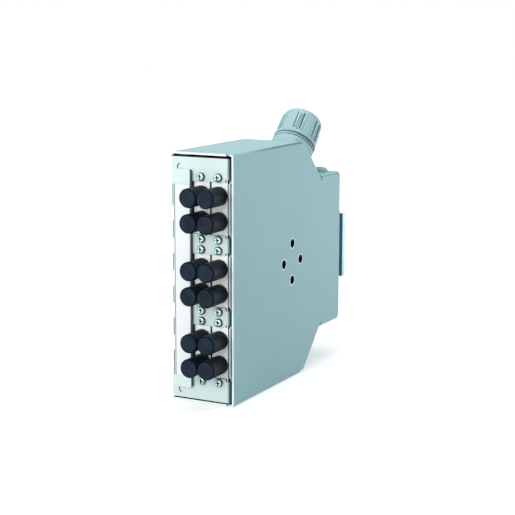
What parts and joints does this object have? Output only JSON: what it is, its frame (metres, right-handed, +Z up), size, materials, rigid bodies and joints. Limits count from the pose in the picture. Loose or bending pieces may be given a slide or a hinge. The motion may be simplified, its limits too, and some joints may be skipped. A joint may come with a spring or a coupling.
{
  "type": "din rail fibre box",
  "caption": "Slim folded-sheet fibre splice box with capped bayonet ports on its narrow front, a cable gland on a slanted rear wall and a sprung rail clip on its back.",
  "frame": {"origin": "centre of the flat bottom wall that the box stands on", "axes": "+Z up, -Y towards the ports, +X towards the side plate with the four holes"},
  "size_m": [0.0356, 0.1548, 0.1436],
  "materials": {
    "housing_paint": "fine matt powder coat",
    "panel_paint": "smooth pale coat",
    "rivet_metal": "plain",
    "holder_plastic": "moulded",
    "card": "blank white",
    "zinc_screws": "zinc plated",
    "gland_plastic": "moulded, light grey",
    "gland_rubber": "matt",
    "black_plastic": "moulded",
    "clip_metal": "extruded",
    "latch_steel": "zinc plated",
    "tray_plastic": "moulded",
    "clear_lid": "clear",
    "adapter_plastic": "moulded, cream",
    "port_metal": "nickel plated",
    "ceramic": "ceramic",
    "cap_rubber": "matt black"
  },
  "bodies": {
    "box": {"cover": "housing_paint", "chassis": "housing_paint", "front_panel": "panel_paint", "panel_rivets": "rivet_metal", "label_holder": "holder_plastic", "label_card": "card", "adapter_screws": "zinc_screws", "adapter_nuts": "zinc_screws", "gland_body": "gland_plastic", "gland_seal": "gland_rubber", "gland_gasket": "gland_rubber", "gland_locknut": "gland_plastic", "din_clip_spacer": "black_plastic", "din_clip_base": "clip_metal", "din_clip_spring": "latch_steel", "din_clip_screws": "zinc_screws", "din_clip_nuts": "zinc_screws", "cover_screws": "zinc_screws", "splice_tray": "tray_plastic", "splice_holder": "black_plastic", "tray_lid": "clear_lid", "tray_posts": "latch_steel", "tray_screws": "zinc_screws", "adapter_1": "adapter_plastic", "port_barrels_1": "port_metal", "alignment_sleeves_1": "ceramic", "adapter_2": "adapter_plastic", "port_barrels_2": "port_metal", "alignment_sleeves_2": "ceramic", "adapter_3": "adapter_plastic", "port_barrels_3": "port_metal", "alignment_sleeves_3": "ceramic", "adapter_4": "adapter_plastic", "port_barrels_4": "port_metal", "alignment_sleeves_4": "ceramic", "adapter_5": "adapter_plastic", "port_barrels_5": "port_metal", "alignment_sleeves_5": "ceramic", "adapter_6": "adapter_plastic", "port_barrels_6": "port_metal", "alignment_sleeves_6": "ceramic"},
    "cap_1": {"dust_cap_1": "cap_rubber"},
    "cap_2": {"dust_cap_2": "cap_rubber"},
    "cap_3": {"dust_cap_3": "cap_rubber"},
    "cap_4": {"dust_cap_4": "cap_rubber"},
    "cap_5": {"dust_cap_5": "cap_rubber"},
    "cap_6": {"dust_cap_6": "cap_rubber"},
    "cap_7": {"dust_cap_7": "cap_rubber"},
    "cap_8": {"dust_cap_8": "cap_rubber"},
    "cap_9": {"dust_cap_9": "cap_rubber"},
    "cap_10": {"dust_cap_10": "cap_rubber"},
    "cap_11": {"dust_cap_11": "cap_rubber"},
    "cap_12": {"dust_cap_12": "cap_rubber"},
    "thrust_ring": {"gland_thrust_ring": "gland_plastic"},
    "nut": {"gland_nut": "gland_plastic"},
    "latch": {"din_clip_latch": "latch_steel"}
  },
  "joints": [
    {"name": "dust_cap_1_pull", "type": "slide", "parent": "box", "child": "cap_1", "axis": [0, -1, 0], "range_m": [0, 0.012]},
    {"name": "dust_cap_2_pull", "type": "slide", "parent": "box", "child": "cap_2", "axis": [0, -1, 0], "range_m": [0, 0.012]},
    {"name": "dust_cap_3_pull", "type": "slide", "parent": "box", "child": "cap_3", "axis": [0, -1, 0], "range_m": [0, 0.012]},
    {"name": "dust_cap_4_pull", "type": "slide", "parent": "box", "child": "cap_4", "axis": [0, -1, 0], "range_m": [0, 0.012]},
    {"name": "dust_cap_5_pull", "type": "slide", "parent": "box", "child": "cap_5", "axis": [0, -1, 0], "range_m": [0, 0.012]},
    {"name": "dust_cap_6_pull", "type": "slide", "parent": "box", "child": "cap_6", "axis": [0, -1, 0], "range_m": [0, 0.012]},
    {"name": "dust_cap_7_pull", "type": "slide", "parent": "box", "child": "cap_7", "axis": [0, -1, 0], "range_m": [0, 0.012]},
    {"name": "dust_cap_8_pull", "type": "slide", "parent": "box", "child": "cap_8", "axis": [0, -1, 0], "range_m": [0, 0.012]},
    {"name": "dust_cap_9_pull", "type": "slide", "parent": "box", "child": "cap_9", "axis": [0, -1, 0], "range_m": [0, 0.012]},
    {"name": "dust_cap_10_pull", "type": "slide", "parent": "box", "child": "cap_10", "axis": [0, -1, 0], "range_m": [0, 0.012]},
    {"name": "dust_cap_11_pull", "type": "slide", "parent": "box", "child": "cap_11", "axis": [0, -1, 0], "range_m": [0, 0.012]},
    {"name": "dust_cap_12_pull", "type": "slide", "parent": "box", "child": "cap_12", "axis": [0, -1, 0], "range_m": [0, 0.012]},
    {"name": "gland_nut_rise", "type": "slide", "parent": "box", "child": "thrust_ring", "axis": [0, 0.7071, 0.7071], "range_m": [0, 0.0046]},
    {"name": "gland_nut_turn", "type": "hinge", "parent": "thrust_ring", "child": "nut", "pos_m": [0.0014, 0.05344, 0.11557], "axis": [0, 0.7071, 0.7071], "range_deg": [0, 1080]},
    {"name": "din_latch_pull", "type": "slide", "parent": "box", "child": "latch", "axis": [0, 0, -1], "range_m": [0, 0.0035], "stiffness_N_per_m": 1500, "springref_m": -0.002, "deforming": ["din_clip_spring"]}
  ],
  "couplings": [
    {"joint": "gland_nut_rise", "follows": "gland_nut_turn", "m_per_rad": 0.00023873}
  ]
}
